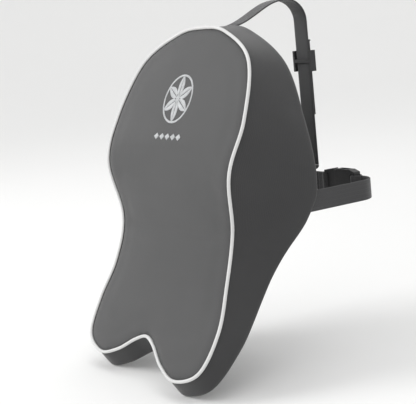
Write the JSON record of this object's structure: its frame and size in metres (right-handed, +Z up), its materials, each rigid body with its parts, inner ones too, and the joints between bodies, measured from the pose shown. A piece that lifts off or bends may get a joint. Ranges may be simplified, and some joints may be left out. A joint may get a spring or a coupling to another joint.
{
  "type": "headrest pillow",
  "caption": "Contoured neck and head pillow with piped edge, two-lobed lower end, zipped back, and top strap and buckled belt that hold it to the front of a headrest.",
  "frame": {"origin": "middle of the flat upper back panel, on the plane that rests on the front of the headrest", "axes": "+Z up along the flat upper back, +Y backwards out of it towards the headrest, -Y out of the face, +X to the right seen from the face; x = 0 is the plane of symmetry of the pillow"},
  "size_m": [0.269, 0.2685, 0.3942],
  "materials": {
    "cover_face": "smooth dark grey knitted fabric, matt with a soft sheen",
    "cover_side": "darker grey woven fabric, matt",
    "memory_foam": "slow-recovery polyurethane foam, off-white",
    "piping": "light grey fabric wrapped over a round cord",
    "webbing": "dark grey woven webbing, matt",
    "elastic": "dark grey woven elastic, matt",
    "zip_tape": "black-grey woven zip tape",
    "zip_metal": "nickel-coloured die-cast metal, satin",
    "plastic": "black moulded plastic with a fine grain",
    "thread": "silver-grey satin-stitch embroidery thread"
  },
  "bodies": {
    "root": {"front_panel": "cover_face", "boxing": "cover_side", "upper_back_panel": "cover_side", "knee_panel": "cover_side", "lower_back_panel": "cover_side", "foam_core": "memory_foam", "face_piping": "piping", "top_strap": "webbing", "top_strap_tail": "webbing", "top_strap_loop": "webbing", "belt_left": "webbing", "belt_right": "webbing", "belt_tail": "webbing", "belt_rear_elastic": "elastic", "zip_tape_upper": "zip_tape", "zip_tape_lower": "zip_tape", "zip_teeth_upper": "zip_metal", "zip_teeth_lower": "zip_metal", "zip_stop_left": "zip_metal", "zip_stop_right": "zip_metal", "buckle_socket": "plastic", "emblem_rosette": "thread", "emblem_band": "thread"},
    "zip_slider": {"zip_slider": "zip_metal"},
    "zip_pull": {"zip_pull": "zip_metal"},
    "top_adjuster": {"top_adjuster": "plastic"},
    "belt_adjuster": {"belt_adjuster": "plastic"},
    "buckle_plug": {"buckle_plug": "plastic"},
    "prong_upper": {"buckle_prong_upper": "plastic"},
    "prong_lower": {"buckle_prong_lower": "plastic"}
  },
  "joints": [
    {"name": "zip_slide", "type": "slide", "parent": "root", "child": "zip_slider", "axis": [-1, 0, 0], "range_m": [0, 0.149]},
    {"name": "zip_pull_turn", "type": "hinge", "parent": "zip_slider", "child": "zip_pull", "pos_m": [0.0745, -0.04683, -0.16498], "axis": [0, -0.6158, -0.7879], "range_deg": [0, 180]},
    {"name": "top_strap_adjust", "type": "slide", "parent": "root", "child": "top_adjuster", "axis": [0, 0, 1], "range_m": [-0.045, 0.01]},
    {"name": "belt_adjust", "type": "slide", "parent": "root", "child": "belt_adjuster", "axis": [1, 0, 0], "range_m": [-0.015, 0.026]},
    {"name": "buckle_release", "type": "slide", "parent": "root", "child": "buckle_plug", "axis": [-1, 0, 0], "range_m": [0, 0.027], "deforming": ["belt_rear_elastic", "buckle_prong_upper", "buckle_prong_lower"]},
    {"name": "prong_upper_squeeze", "type": "hinge", "parent": "buckle_plug", "child": "prong_upper", "pos_m": [0.0602, 0.085, -0.089], "axis": [0, 1, 0], "range_deg": [0, 12], "stiffness_Nm_per_rad": 0.4},
    {"name": "prong_lower_squeeze", "type": "hinge", "parent": "buckle_plug", "child": "prong_lower", "pos_m": [0.0602, 0.085, -0.105], "axis": [0, -1, 0], "range_deg": [0, 12], "stiffness_Nm_per_rad": 0.4}
  ],
  "couplings": [
    {"joint": "prong_lower_squeeze", "follows": "prong_upper_squeeze", "ratio": 1}
  ]
}
